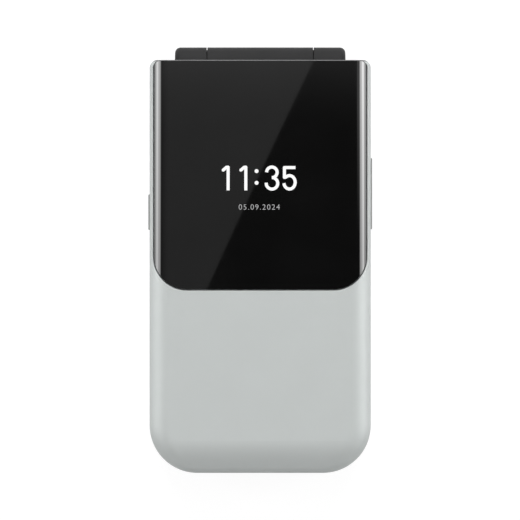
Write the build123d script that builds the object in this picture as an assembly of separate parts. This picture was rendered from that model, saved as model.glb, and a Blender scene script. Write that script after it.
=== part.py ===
from build123d import *
import os
from math import sqrt

# A flip phone, closed and lying on its back. Millimetres.
# +X is the width, +Y runs from the tip to the hinge end, +Z goes up through the lid.
# The origin is the middle of the surface that the phone lies on.

# Outer form
width = 54.4
length = 104.8
thickness = 18.7
base_height = 12.0
closed_gap = 0.3
tip_corner = 11.8
lid_edge_radius = 4.6
lid_dip_length = 8.0
lid_dip_radius = 11.0
base_edge_radius = 4.2
base_dip_length = 12.0
base_dip_radius = 52.0
lid_end_corner = 2.0
base_end_corner = 3.5
base_end_round = 1.5
band_height = 0.9
seam = 0.1
lid_wall = 1.4
base_wall = 1.4

# Hinge
barrel_radius = 5.0
barrel_width = 26.0
hinge_width = 42.0
knuckle_gap = 0.2
hinge_z = 10.0
lid_past_axis = 1.7
base_short_of_axis = 1.8
hinge_clearance = 0.3
hinge_wall = 0.8
collar_radius = 4.4
collar_gap = 0.06
knuckle_round = 1.4
knuckle_bore = 3.0
fit_gap = 0.05
cap_thickness = 0.7
cartridge_length = 15.0
cartridge_wall = 0.7
cartridge_nose = 3.2
shaft_radius = 1.2
spring_count = 6
spring_pitch = 0.9
bush_radius = 2.4
bush_bore = 1.9
bush_reach = 7.0
flex_radius = 1.5
flex_film = 0.2
flex_width = 2.4
flex_slot = 0.8
flex_offset = 1.1

# Outer window and the display under it
window_side = 1.15
window_from_tip = 45.2
window_sunk = 0.03
window_corner = 8.1
window_top_corner = 1.4
window_rim = 0.2
window_end_gap = 0.05
window_reveal = 0.3
window_glass = 1.0
window_drop = 2.4
window_ledge = 1.3
ledge_depth = 0.8
outer_display_width = 26.5
outer_display_length = 29.0
outer_display_thickness = 1.6
outer_display_from_end = 31.2

# Inside of the lid
frame_depth = 1.6
inner_window_side = 3.2
inner_window_from_tip = 16.4
inner_window_from_block = 9.3
inner_window_recess = 0.1
inner_window_thickness = 0.8
display_border_side = 1.4
display_border_end = 3.0
display_thickness = 1.6
lid_board_width = 34.0
lid_board_length = 50.0
lid_board_from_block = 3.3
lid_board_thickness = 0.6
connector_height = 0.5
lid_chip_width = 4.0
lid_chip_length = 3.0
lid_chip_pitch_x = 9.0
lid_chip_pitch_y = 4.5
lid_chip_inset = 6.0
earpiece_from_motor = 1.3
earpiece_length = 6.5
earpiece_height = 2.2
earpiece_from_tip = 8.8
earpiece_slot_inset = 2.0
earpiece_slot_length = 1.5
motor_radius = 4.0
motor_height = 2.6
motor_from_screw = 6.6
motor_from_tip = 11.4
magnet_width = 2.0
magnet_length = 5.0
magnet_height = 1.2
magnet_side = 3.6
magnet_from_tip = 14.9
bumper_height = 0.25
bumper_width = 5.0
bumper_length = 1.4
bumper_x = 12.0
bumper_from_tip = 3.8
bumper_side = 4.0
bumper_from_block = 2.3
lid_screw_side = 6.8
lid_screw_from_block = 4.9
tip_screw_side = 8.8
tip_screw_from_tip = 11.0
lid_screw_radius = 0.75
screw_head_radius = 1.6
screw_head_height = 0.8
lid_boss_radius = 1.9
boss_rib = 1.2
plug_radius = 1.9
plug_depth = 0.45

# Keypad
key_travel = 0.35
key_proud = 0.1
key_clearance = 0.2
key_flange_reach = 0.4
key_flange_thickness = 0.4
key_round = 1.2
key_edge = 0.3
key_stem_radius = 1.2
keypad_side = 3.2
keypad_from_tip = 16.85
keypad_from_block = 6.6
key_space = 1.1
menu_to_digits = 5.15
digit_names = [["1", "2", "3"], ["4", "5", "6"], ["7", "8", "9"], ["star", "0", "hash"]]
ring_radius = 10.8
ring_hole = 5.0
ring_below_frame = 0.15
ring_clearance = 0.2
ring_flange_drop = 0.15
ring_stem_radius = 0.9
ring_stem_circle = 8.0
select_radius = 4.6
select_flange_reach = 0.35
gimbal_gap = 0.35
gimbal_thickness = 0.15
menu_key_inset = 0.3
menu_key_length = 10.2
menu_key_gap = 1.8
menu_key_clear_of_ring = 0.9
frame_plate = 1.45
mat_thickness = 0.4
dome_radius = 2.2
dome_height = 0.3
dome_sheet = 0.1
board_side = 4.6

# Inside of the base
floor_z = 6.6
floor_thickness = 0.8
board_thickness = 0.8
board_from_tip = 6.4
board_from_block = 1.3
board_corner = 8.0
board_tab_width = 10.0
board_tab_from_tip = 3.4
battery_from_screw = 3.5
battery_from_tip = 12.4
battery_from_cover_end = 15.0
battery_corner = 1.0
cover_height = 3.4
cover_from_block = 13.3
cover_wall = 1.2
cover_tab_width = 5.0
cover_tab_reach = 1.2
cover_tab_thickness = 0.8
cover_tab_places = [-15.0, 0.0, 15.0]
grip_grooves = 4
grip_width = 14.0
grip_groove = 0.9
grip_pitch = 1.8
grip_depth = 0.3
grip_from_tip = 15.0
bulkhead = 1.0
contacts_width = 8.0
contacts_length = 1.8
contacts_height = 3.2
contact_blade_width = 1.2
contact_blade_reach = 0.5
contact_pitch = 2.5
sim_width = 17.0
sim_length = 12.0
sim_height = 1.2
sim_x = -9.6
sim_slot_inset = 2.3
sim_wall = 0.3
shield_width = 16.0
shield_length = 12.0
shield_height = 2.8
shield_x = 11.0
bay_parts_from_cover_end = 6.5
base_screw_side = 6.7
base_screw_above_digits = 2.35
base_tip_screw_side = 8.2
base_tip_screw_from_tip = 12.9
base_screw_radius = 0.8
post_radius = 1.6
post_clearance = 0.3
microphone_radius = 2.0
microphone_height = 1.2
microphone_from_tip = 7.4
microphone_hole = 0.5
antenna_width = 26.0
antenna_depth = 2.0
antenna_height = 1.8
antenna_from_tip = 3.1

# Ports, camera and loudspeaker
camera_from_block = 5.8
camera_width = 8.5
camera_height = 5.6
camera_window_radius = 5.2
camera_window_thickness = 0.8
camera_view_radius = 3.4
flash_x = 9.0
flash_radius = 1.7
glass_recess = 0.1
speaker_x = -14.0
speaker_width = 15.0
speaker_length = 9.0
speaker_height = 3.0
grille_slots = 5
grille_slot_width = 8.0
grille_slot_length = 0.8
grille_pitch = 1.6
jack_from_block = 7.7
jack_z = 4.6
jack_bore = 1.8
jack_depth = 13.5
jack_body = 5.4
jack_nose = 2.7
usb_width = 7.5
usb_height = 2.5
usb_depth = 5.4
usb_shell = 0.25
usb_tongue_width = 4.0
usb_tongue_height = 0.6
usb_setback = 0.3
usb_mouth_clearance = 0.15

# Side keys
side_key_proud = 0.4
side_key_z = 8.2
side_key_height = 2.4
side_key_clearance = 0.2
side_key_flange = 0.5
side_flange_thickness = 0.6
side_flange_setback = 0.35
rocker_length = 17.6
rocker_pivot_radius = 0.28
rocker_from_block = 24.95
side_key_length = 8.8
side_key_from_block = 29.5
side_switch_width = 1.2
side_switch_length = 3.6
side_switch_height = 1.2
side_switch_gap = 0.4
rocker_switch_offset = 5.5

# Clearances and small radii
film_gap = 0.15
pocket_clearance = 0.1
display_clearance = 0.2
thread_bite = 0.02
screw_clearance = 0.1
screw_floor = 0.5
screw_tip_gap = 0.3
drive_radius = 0.6
drive_depth = 0.4
glass_corner = 0.8
pocket_corner = 2.1
film_corner = 2.0
slot_corner = 0.7
mesh_setback = 0.35
mesh_corner = 0.65
board_round = 1.5
connector_width = 8.0
connector_length = 2.4
earpiece_corner = 2.0
part_corner = 0.6
socket_corner = 0.5
antenna_corner = 0.4
speaker_corner = 2.5
grille_corner = 0.39
flex_slot_clearance = 0.6
spring_clearance = 0.15
spring_wall_gap = 0.1
spring_lean = 0.3
spring_wire = 0.25
shaft_stop_gap = 0.6
shaft_head_gap = 0.2
bush_stop_gap = 1.0
flex_stop_gap = 1.3
soft_key_shift = 2.2
select_flange_drop = 0.2
mat_ring_gap = 0.2
mat_stem_gap = 0.3
tab_root_length = 3.0
lens_recess_radius = 1.2
lens_recess = 0.3
camera_barrel_gap = 0.3
blade_overlap = 0.2
blade_inset = 0.8
jack_back = 0.8
nose_overlap = 0.5
usb_back = 0.6
usb_tongue_gap = 0.8
usb_tongue_lift = 0.3
overlap = 0.2

# Places that follow from the sizes above
tip = -length / 2
hinge_y = length / 2 - barrel_radius
lid_end = hinge_y + lid_past_axis
base_end = hinge_y - base_short_of_axis
lid_low = base_height + closed_gap
lid_height = thickness - lid_low
knuckle_inner = barrel_width / 2 + knuckle_gap
knuckle_outer = hinge_width / 2
recess_side = knuckle_outer + knuckle_gap
recess_radius = barrel_radius + hinge_clearance
block_side = recess_side + hinge_wall
block_y = hinge_y - recess_radius - hinge_wall
window_width = width - 2 * window_side
window_edge_y = tip + window_from_tip
outer_display_y = lid_end - outer_display_from_end
inner_window_width = width - 2 * inner_window_side
inner_window_low_y = tip + inner_window_from_tip
inner_window_high_y = block_y - inner_window_from_block
inner_window_length = inner_window_high_y - inner_window_low_y
inner_window_y = (inner_window_high_y + inner_window_low_y) / 2
display_width = inner_window_width - 2 * display_border_side
display_length = inner_window_length - 2 * display_border_end
lid_board_y = block_y - lid_board_from_block - lid_board_length / 2
lid_screw_x = width / 2 - lid_screw_side
lid_screw_y = block_y - lid_screw_from_block
tip_screw_x = width / 2 - tip_screw_side
tip_screw_y = tip + tip_screw_from_tip
lid_screw_places = [(-lid_screw_x, lid_screw_y), (lid_screw_x, lid_screw_y),
                    (-tip_screw_x, tip_screw_y), (tip_screw_x, tip_screw_y)]
motor_x = tip_screw_x - motor_from_screw
motor_y = tip + motor_from_tip
earpiece_width = 2 * (motor_x - motor_radius - earpiece_from_motor)
earpiece_slot_width = earpiece_width - 2 * earpiece_slot_inset
earpiece_y = tip + earpiece_from_tip
magnet_x = width / 2 - magnet_side
magnet_y = tip + magnet_from_tip
end_bumper_x = width / 2 - bumper_side
end_bumper_y = block_y - bumper_from_block
tip_bumper_y = tip + bumper_from_tip
keypad_low = tip + keypad_from_tip
keypad_high = block_y - keypad_from_block
menu_length = 2 * menu_key_length + menu_key_gap
digits_high = keypad_high - menu_length - menu_to_digits
digit_pitch_x = (width - 2 * keypad_side) / len(digit_names[0])
digit_pitch_y = (digits_high - keypad_low + key_space) / len(digit_names)
digit_key_width = digit_pitch_x - key_space
digit_key_length = digit_pitch_y - key_space
digit_top_y = digits_high - digit_key_length / 2
menu_key_width = digit_key_width - menu_key_inset
ring_y = keypad_high - menu_length / 2
electronics_width = width - 2 * board_side
board_low_y = tip + board_from_tip
board_high_y = block_y - board_from_block
board_tab_end = tip + board_tab_from_tip
cover_end = block_y - cover_from_block
bay_parts_y = cover_end - bay_parts_from_cover_end
base_screw_x = width / 2 - base_screw_side
base_screw_y = digits_high + base_screw_above_digits
base_tip_screw_x = width / 2 - base_tip_screw_side
base_tip_screw_y = tip + base_tip_screw_from_tip
base_screw_places = [(-base_screw_x, base_screw_y), (base_screw_x, base_screw_y),
                     (-base_tip_screw_x, base_tip_screw_y), (base_tip_screw_x, base_tip_screw_y)]
battery_width = 2 * (base_screw_x - battery_from_screw)
battery_low_y = tip + battery_from_tip
battery_high_y = cover_end - battery_from_cover_end
microphone_y = tip + microphone_from_tip
antenna_y = tip + antenna_from_tip
camera_y = block_y - camera_from_block
jack_y = block_y - jack_from_block
rocker_y = block_y - rocker_from_block
side_key_y = block_y - side_key_from_block
frame_low = base_height - frame_plate
board_low = floor_z + floor_thickness + seam
board_top = board_low + board_thickness
dome_top = board_top + fit_gap + dome_sheet + dome_height
flange_top = frame_low - mat_stem_gap
flange_low = flange_top - key_flange_thickness
stem_low = dome_top + fit_gap + key_travel
mat_low = dome_top + film_gap
display_low = lid_low + inner_window_recess + inner_window_thickness + film_gap
lid_board_low = display_low + display_thickness + seam
lid_inner_face = lid_low + frame_depth
lid_ceiling = thickness - lid_wall
window_low = thickness - window_drop


def prism(size_x, size_y, low, high, x=0.0, y=0.0, corner=0.0):
    """An upright block, with its four upright edges rounded where a corner is given."""
    outline = RectangleRounded(size_x, size_y, corner) if corner else Rectangle(size_x, size_y)
    return extrude(Pos(x, y, low) * outline, high - low)


def disc(radius, low, high, x=0.0, y=0.0):
    """An upright cylinder between two heights."""
    return extrude(Pos(x, y, low) * Circle(radius), high - low)


def rod(radius, start, stop, y=hinge_y, z=hinge_z):
    """A cylinder along X, on the hinge axis unless another line is given."""
    return extrude(Plane(origin=(start, y, z), z_dir=(1, 0, 0)) * Circle(radius), stop - start)


def mirrored(shape):
    """The same shape on the other side of the middle plane."""
    return mirror(shape, Plane.YZ)


def group(shapes):
    """Separate solids that share one node."""
    return Compound([solid for shape in shapes for solid in shape.solids()])


def half_form(end, height, end_corner, edge_radius, dip_length, dip_radius, inset, end_inset):
    """One half of the outer form, parting face down on Z = 0, pulled in by the insets."""
    size_x = width - 2 * inset
    low_y = tip + inset
    high_y = end - end_inset
    top = height - inset
    dip = dip_length - inset
    drop = (dip_radius - inset) - sqrt((dip_radius - inset) ** 2 - dip ** 2)
    outline = Pos(0, (low_y + high_y) / 2) * Rectangle(size_x, high_y - low_y)
    outline = fillet(outline.vertices().group_by(Axis.Y)[0], tip_corner - inset)
    brow = (low_y + dip, top)
    toe = (low_y, top - drop)
    side = [Line((low_y, 0), (high_y, 0)), Line((high_y, 0), (high_y, top)), Line((high_y, top), brow),
            TangentArc(brow, toe, tangent=(-1, 0)), Line(toe, (low_y, 0))]
    block = extrude(outline, top) & extrude(Plane.YZ * make_face(side), width, both=True)
    crown = [edge for edge in block.edges() if edge.center().Z > top - drop - fit_gap]
    rim = [edge for edge in crown if abs(edge.center().Y - high_y) > fit_gap and abs(edge.center().X) > fit_gap]
    rim += [edge for edge in crown if abs(edge.center().Y - low_y) < fit_gap and abs(edge.center().X) < fit_gap]
    block = fillet(rim, edge_radius - inset)
    plan = Pos(0, (low_y + high_y) / 2) * Rectangle(size_x, high_y - low_y)
    plan = fillet(plan.vertices().group_by(Axis.Y)[-1], max(end_corner - inset, fit_gap))
    return block & extrude(plan, top)


def lid_form(inset=0.0, end_inset=None):
    """The lid's outer form at its closed place; the hinge end may have an inset of its own."""
    end_inset = inset if end_inset is None else end_inset
    half = half_form(lid_end, lid_height, lid_end_corner, lid_edge_radius, lid_dip_length, lid_dip_radius,
                     inset, end_inset)
    return Pos(0, 0, lid_low) * half


def base_form(inset=0.0):
    """The base's outer form: the same kind of half, crown down."""
    half = half_form(base_end, base_height, base_end_corner, base_edge_radius, base_dip_length,
                     base_dip_radius, inset, inset)
    return Pos(0, 0, base_height) * mirror(half, Plane.XY)


def window_prism(grow, low, end_grow=None):
    """The outer window's outline as a prism from a height up, grown or shrunk by a margin."""
    high_y = lid_end - window_rim - window_end_gap + (grow if end_grow is None else end_grow)
    low_y = window_edge_y - grow
    outline = Pos(0, (low_y + high_y) / 2) * Rectangle(window_width + 2 * grow, high_y - low_y)
    outline = fillet(outline.vertices().group_by(Axis.Y)[0], window_corner + grow)
    outline = fillet(outline.vertices().group_by(Axis.Y)[-1], max(window_top_corner + grow, 0.2))
    return Pos(0, 0, low) * extrude(outline, lid_height)


# Lid

def lid_outer_shell():
    """The light outer casing of the lid, with a ledge that carries the window and four screw bosses."""
    skin = lid_form() - lid_form(lid_wall)
    skin -= window_prism(window_reveal, window_low - window_reveal, window_end_gap)
    ledge_top = window_glass + fit_gap
    ledge = lid_form(ledge_top) - lid_form(ledge_top + ledge_depth) - window_prism(-window_ledge, lid_low)
    ledge = ledge & window_prism(window_reveal + lid_wall, window_low - ledge_depth)
    shell = skin + ledge
    below_band = prism(2 * width, 2 * length, 0, lid_low + band_height + seam)
    shell -= below_band
    shell -= rod(recess_radius, -recess_side, recess_side)
    boss_low = lid_inner_face + seam
    under_window = lid_form(ledge_top)
    for x, y in lid_screw_places:
        wall_x = (width / 2 - lid_wall / 2) * (1 if x > 0 else -1)
        rib = prism(abs(wall_x - x), boss_rib, boss_low, thickness, (wall_x + x) / 2, y)
        shell += (disc(lid_boss_radius, boss_low, thickness, x, y) + rib) & under_window
        shell -= disc(lid_screw_radius + thread_bite, boss_low, lid_ceiling - screw_floor, x, y)
    return shell


def outer_window():
    """The glossy panel over the outer display, following the lid's curve at its sides."""
    return (lid_form(window_sunk) - lid_form(window_glass, 0)) & window_prism(0, window_low)


def lid_inner_frame():
    """The dark inner casing of the lid, with the middle hinge barrel."""
    band = prism(2 * width, 2 * length, lid_low, lid_low + band_height)
    inner = prism(2 * width, 2 * length, lid_low, lid_inner_face)
    frame = (lid_form() & band) + (lid_form(lid_wall + seam) & inner)
    block_end = lid_end - window_glass - ledge_depth - 2 * seam
    block_top = hinge_z + recess_radius + hinge_wall
    frame += prism(2 * block_side, block_end - block_y, lid_low, block_top, 0, (block_end + block_y) / 2)
    knuckle_space = rod(recess_radius, barrel_width / 2, recess_side)
    frame -= knuckle_space
    frame -= mirrored(knuckle_space)
    collar_end = knuckle_inner - collar_gap
    frame += rod(barrel_radius, -barrel_width / 2, barrel_width / 2)
    frame += rod(collar_radius, -collar_end, collar_end)
    frame -= rod(knuckle_bore, -collar_end, -barrel_width / 2 + cartridge_length + seam)
    frame -= rod(bush_radius + fit_gap, -collar_end, collar_end)
    flex_slot_x = flex_lane()
    frame -= prism(flex_width + flex_slot_clearance, flex_slot, hinge_z, block_top, flex_slot_x,
                   hinge_y - flex_offset)
    pocket_top = lid_low + inner_window_recess + inner_window_thickness + fit_gap
    frame -= prism(inner_window_width + 2 * pocket_clearance, inner_window_length + 2 * pocket_clearance,
                   lid_low, pocket_top, 0, inner_window_y, pocket_corner)
    frame -= prism(display_width + 2 * display_clearance, display_length + 2 * display_clearance,
                   lid_low, lid_inner_face, 0, inner_window_y)
    frame -= prism(earpiece_slot_width, earpiece_slot_length, lid_low, lid_inner_face, 0, earpiece_y,
                   slot_corner)
    for x, y in lid_screw_places:
        frame -= disc(plug_radius + fit_gap, lid_low, lid_low + plug_depth, x, y)
        frame -= disc(screw_head_radius + fit_gap, lid_low, lid_low + plug_depth + screw_head_height, x, y)
        frame -= disc(lid_screw_radius + screw_clearance, lid_low, lid_inner_face, x, y)
    return frame


def outer_display():
    low = thickness - window_glass - outer_display_thickness - film_gap
    module = prism(outer_display_width, outer_display_length, low, low + outer_display_thickness, 0,
                   outer_display_y, glass_corner)
    return module


def main_display():
    return prism(display_width, display_length, display_low, display_low + display_thickness, 0,
                 inner_window_y, glass_corner)


def main_window():
    low = lid_low + inner_window_recess
    return prism(inner_window_width, inner_window_length, low, low + inner_window_thickness, 0,
                 inner_window_y, film_corner)


def lid_board():
    """The lid's circuit board, with the connector that takes the hinge flex."""
    top = lid_board_low + lid_board_thickness
    board = prism(lid_board_width, lid_board_length, lid_board_low, top, 0, lid_board_y, board_round)
    connector_y = lid_board_y + lid_board_length / 2 - board_round
    board += prism(connector_width, connector_length, lid_board_low, top + connector_height, flex_lane(),
                   connector_y)
    for row in (0, 1):
        y = lid_board_y - lid_board_length / 2 + lid_chip_inset + row * lid_chip_pitch_y
        for column in (-1, 0, 1):
            board += prism(lid_chip_width, lid_chip_length, lid_board_low, top + connector_height,
                           column * lid_chip_pitch_x, y)
    return board


def earpiece():
    low = lid_inner_face + fit_gap
    return prism(earpiece_width, earpiece_length, low, low + earpiece_height, 0, earpiece_y, earpiece_corner)


def earpiece_mesh():
    """A thin woven plate that fills the sound slot, a little below the lid's inner face."""
    low = lid_low + mesh_setback
    return prism(earpiece_slot_width - 2 * fit_gap, earpiece_slot_length - 2 * fit_gap, low,
                 lid_inner_face - fit_gap, 0, earpiece_y, mesh_corner)


def vibration_motor():
    low = lid_inner_face + fit_gap
    return disc(motor_radius, low, low + motor_height, motor_x, motor_y)


def lid_magnet():
    low = lid_inner_face + fit_gap
    return prism(magnet_width, magnet_length, low, low + magnet_height, magnet_x, magnet_y)


def lid_bumpers():
    """Soft pads that keep the lid off the keypad frame."""
    low = lid_low - bumper_height
    tip_pad = prism(bumper_width, bumper_length, low, lid_low, bumper_x, tip_bumper_y, part_corner)
    end_pad = prism(bumper_length, bumper_length, low, lid_low, end_bumper_x, end_bumper_y, part_corner)
    return group([tip_pad, mirrored(tip_pad), end_pad, mirrored(end_pad)])


def lid_screws():
    screws = []
    for x, y in lid_screw_places:
        head_low = lid_low + plug_depth + fit_gap
        head_top = head_low + screw_head_height - 2 * fit_gap
        screw = disc(screw_head_radius, head_low, head_top, x, y)
        screw += disc(lid_screw_radius, head_low, lid_ceiling - screw_floor - screw_tip_gap, x, y)
        screw -= disc(drive_radius, head_low, head_low + drive_depth, x, y)
        screws.append(screw)
    return group(screws)


def lid_screw_plugs():
    return group([disc(plug_radius, lid_low + fit_gap, lid_low + plug_depth, x, y)
                  for x, y in lid_screw_places])


# Hinge

def hinge_cartridge():
    """The click hinge's can, pressed into the barrel, with a nose that the cam shaft turns in."""
    start = -barrel_width / 2
    can = rod(knuckle_bore - fit_gap, start, start + cartridge_length)
    can -= rod(knuckle_bore - fit_gap - cartridge_wall, start + cartridge_nose,
               start + cartridge_length - cartridge_wall)
    can -= rod(shaft_radius + fit_gap, start, start + cartridge_nose)
    return can


def hinge_springs():
    """A stack of dished spring washers round the cam shaft."""
    start = -barrel_width / 2 + cartridge_nose + shaft_stop_gap
    inner = shaft_radius + spring_clearance
    outer = knuckle_bore - fit_gap - cartridge_wall - spring_wall_gap
    washers = []
    for index in range(spring_count):
        x = start + index * spring_pitch
        lean = spring_lean if index % 2 else -spring_lean
        points = [(x, inner), (x + spring_wire, inner), (x + spring_wire + lean, outer), (x + lean, outer)]
        profile = Plane(origin=(0, hinge_y, hinge_z), x_dir=(1, 0, 0), z_dir=(0, -1, 0)) * make_face(
            Polyline(*points, close=True))
        washers.append(revolve(profile, Axis((0, hinge_y, hinge_z), (1, 0, 0))))
    return group(washers)


def hinge_cam_shaft():
    """The cam shaft: its head is keyed in the base's knuckle and its stem turns in the cartridge."""
    head_start = -knuckle_outer + cap_thickness + shaft_head_gap
    head_stop = -barrel_width / 2 - knuckle_gap / 2
    shaft = rod(knuckle_bore - fit_gap, head_start, head_stop)
    stem_stop = -barrel_width / 2 + cartridge_length - cartridge_wall - shaft_stop_gap
    return shaft + rod(shaft_radius, head_start, stem_stop)


def hinge_bush():
    """A hollow stub that the barrel turns on, with room for the flex inside it."""
    start = barrel_width / 2 - bush_reach
    stop = knuckle_outer - cap_thickness - bush_stop_gap
    bush = rod(bush_radius, start, stop) + rod(knuckle_bore - fit_gap, knuckle_inner, stop)
    return bush - rod(bush_bore, start, stop)


def hinge_caps():
    cap = rod(knuckle_bore - fit_gap, knuckle_outer - cap_thickness, knuckle_outer - fit_gap)
    return group([cap, mirrored(cap)])


def flex_lane():
    """The X where the hinge flex leaves the barrel for the lid."""
    return barrel_width / 2 - bush_reach - flex_width / 2 - flex_slot_clearance


def hinge_flex():
    """The rolled film that carries the signals through the hinge, with its tail to the lid board."""
    roll_start = flex_lane() - flex_width / 2
    roll_stop = knuckle_outer - cap_thickness - flex_stop_gap
    roll = rod(flex_radius, roll_start, roll_stop) - rod(flex_radius - flex_film, roll_start, roll_stop)
    over_block = hinge_z + recess_radius + hinge_wall + seam
    riser = prism(flex_width, flex_film, hinge_z + flex_radius / 2, over_block + flex_film,
                  flex_lane(), hinge_y - flex_offset)
    board_end = lid_board_y + lid_board_length / 2 - 3
    run = hinge_y - flex_offset + flex_film / 2 - board_end
    tail = prism(flex_width, run, over_block, over_block + flex_film, flex_lane(), board_end + run / 2)
    return roll + riser + tail


# Keypad

def digit_key_places():
    """Each digit key's name with the middle of its cap."""
    places = {}
    for row, names in enumerate(digit_names):
        for column, name in enumerate(names):
            places["key_" + name] = ((column - 1) * digit_pitch_x, digit_top_y - row * digit_pitch_y)
    return places


def menu_key_places():
    """The four keys beside the scroll ring."""
    x = digit_pitch_x + (digit_key_width - menu_key_width) / 2
    y = (menu_key_length + menu_key_gap) / 2
    return {"soft_key_left": (-x, ring_y + y), "soft_key_right": (x, ring_y + y),
            "call_key": (-x, ring_y - y), "end_key": (x, ring_y - y)}


def key_outline(name, grow):
    """A cap's outline, grown by a margin; the menu keys curve round the scroll ring."""
    if name in digit_key_places():
        x, y = digit_key_places()[name]
        return Pos(x, y) * RectangleRounded(digit_key_width + 2 * grow, digit_key_length + 2 * grow,
                                            key_round + grow)
    x, y = menu_key_places()[name]
    outline = Pos(x, y) * Rectangle(menu_key_width + 2 * grow, menu_key_length + 2 * grow)
    outline -= Pos(0, ring_y) * Circle(ring_radius + menu_key_clear_of_ring - grow)
    return fillet(outline.vertices(), glass_corner + grow)


def stem_place(name):
    """The middle of the stem under a key."""
    if name in digit_key_places():
        return digit_key_places()[name]
    x, y = menu_key_places()[name]
    return (x + (soft_key_shift if x > 0 else -soft_key_shift), y)


def key(name):
    """One key: its cap, the flange that holds it under the frame, and the stem over its dome."""
    top = base_height + key_proud
    cap = extrude(Pos(0, 0, flange_low) * key_outline(name, 0), top - flange_low)
    cap = fillet(cap.faces().sort_by(Axis.Z)[-1].outer_wire().edges(), key_edge)
    cap += extrude(Pos(0, 0, flange_low) * key_outline(name, key_flange_reach), key_flange_thickness)
    x, y = stem_place(name)
    return cap + disc(key_stem_radius, stem_low, flange_low + fit_gap, x, y)


def ring_stem_places():
    return [(0, ring_y + ring_stem_circle), (0, ring_y - ring_stem_circle),
            (-ring_stem_circle, ring_y), (ring_stem_circle, ring_y)]


def scroll_ring():
    """The four-way ring, with a flange under the frame and four stems."""
    top = base_height - ring_below_frame
    low = flange_low - ring_flange_drop
    ring = disc(ring_radius, low, top, 0, ring_y)
    ring = fillet(ring.faces().sort_by(Axis.Z)[-1].edges(), key_edge)
    ring += disc(ring_radius + key_flange_reach, low, flange_top - ring_flange_drop, 0, ring_y)
    ring -= disc(ring_hole, low, top, 0, ring_y)
    for x, y in ring_stem_places():
        ring += disc(ring_stem_radius, stem_low, low + fit_gap, x, y)
    return ring


def ring_gimbal():
    """The thin spring plate that lets the ring tilt both ways."""
    top = flange_low - ring_flange_drop - gimbal_gap
    low = top - gimbal_thickness
    plate = disc(ring_stem_circle - ring_stem_radius - gimbal_gap, low, top, 0, ring_y)
    return plate - disc(ring_hole + select_flange_reach + gimbal_gap, low, top, 0, ring_y)


def select_key():
    """The round key inside the ring."""
    top = base_height + key_proud - fit_gap
    low = flange_low - ring_flange_drop
    cap = disc(select_radius, low - select_flange_drop, top, 0, ring_y)
    cap = fillet(cap.faces().sort_by(Axis.Z)[-1].edges(), key_edge)
    cap += disc(ring_hole + select_flange_reach, low - 2 * select_flange_drop, low - select_flange_drop,
                0, ring_y)
    return cap + disc(key_stem_radius, stem_low, low, 0, ring_y)


def keypad_frame():
    """The dark top casing of the base, with the key openings and the two hinge knuckles."""
    band = prism(2 * width, 2 * length, base_height - band_height, base_height)
    inner = prism(2 * width, 2 * length, frame_low, base_height)
    frame = (base_form() & band) + (base_form(base_wall + seam) & inner)
    block_low = hinge_z - barrel_radius
    frame += prism(2 * block_side, base_end - block_y, block_low, base_height, 0, (base_end + block_y) / 2)
    knuckle = rod(barrel_radius, knuckle_inner, knuckle_outer)
    knuckle = fillet(knuckle.edges().group_by(Axis.X)[-1], knuckle_round)
    frame -= rod(recess_radius, -knuckle_inner, knuckle_inner)
    frame = frame + knuckle + mirrored(knuckle)
    bore = rod(knuckle_bore, knuckle_inner, knuckle_outer)
    frame -= bore
    frame -= mirrored(bore)
    for name in list(digit_key_places()) + list(menu_key_places()):
        frame -= extrude(Pos(0, 0, frame_low) * key_outline(name, key_clearance), frame_plate)
    frame -= disc(ring_radius + ring_clearance, frame_low, base_height, 0, ring_y)
    frame -= disc(microphone_hole, frame_low, base_height, 0, microphone_y)
    for x, y in base_screw_places:
        frame += disc(post_radius, floor_z + floor_thickness + fit_gap, frame_low + overlap, x, y)
        frame -= disc(base_screw_radius + thread_bite, floor_z + floor_thickness + fit_gap,
                      frame_low + overlap, x, y)
    return frame


def keypad_mat():
    """The soft sheet between the domes and the keys, open round every stem and the ring."""
    high_y = ring_y + menu_key_length + menu_key_gap
    low_y = digit_top_y - 3 * digit_pitch_y - digit_key_length / 2
    mat = prism(electronics_width, high_y - low_y, mat_low, mat_low + mat_thickness, 0, (high_y + low_y) / 2,
                film_corner)
    mat -= disc(ring_radius + key_flange_reach + mat_ring_gap, mat_low, mat_low + mat_thickness, 0, ring_y)
    for name in list(digit_key_places()) + list(menu_key_places()):
        x, y = stem_place(name)
        mat -= disc(key_stem_radius + mat_stem_gap, mat_low, mat_low + mat_thickness, x, y)
    return mat - post_space()


def dome_sheet_film():
    """The film that holds a click dome under each key."""
    high_y = ring_y + menu_key_length + menu_key_gap
    low_y = digit_top_y - 3 * digit_pitch_y - digit_key_length / 2
    low = board_top + fit_gap
    film = prism(electronics_width, high_y - low_y, low, low + dome_sheet, 0, (high_y + low_y) / 2,
                 film_corner)
    centres = [stem_place(name) for name in list(digit_key_places()) + list(menu_key_places())]
    centres += ring_stem_places() + [(0, ring_y)]
    bulge = (dome_radius ** 2 + dome_height ** 2) / (2 * dome_height)
    for x, y in centres:
        ball = Pos(x, y, low + dome_sheet + dome_height - bulge) * Sphere(bulge)
        film += ball & disc(dome_radius, low + dome_sheet / 2, low + dome_sheet + dome_height, x, y)
    return film - post_space()


def post_space():
    """Clear space round the frame's screw posts."""
    return group([disc(post_radius + post_clearance, floor_z, base_height, x, y) for x, y in base_screw_places])


# Base

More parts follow.
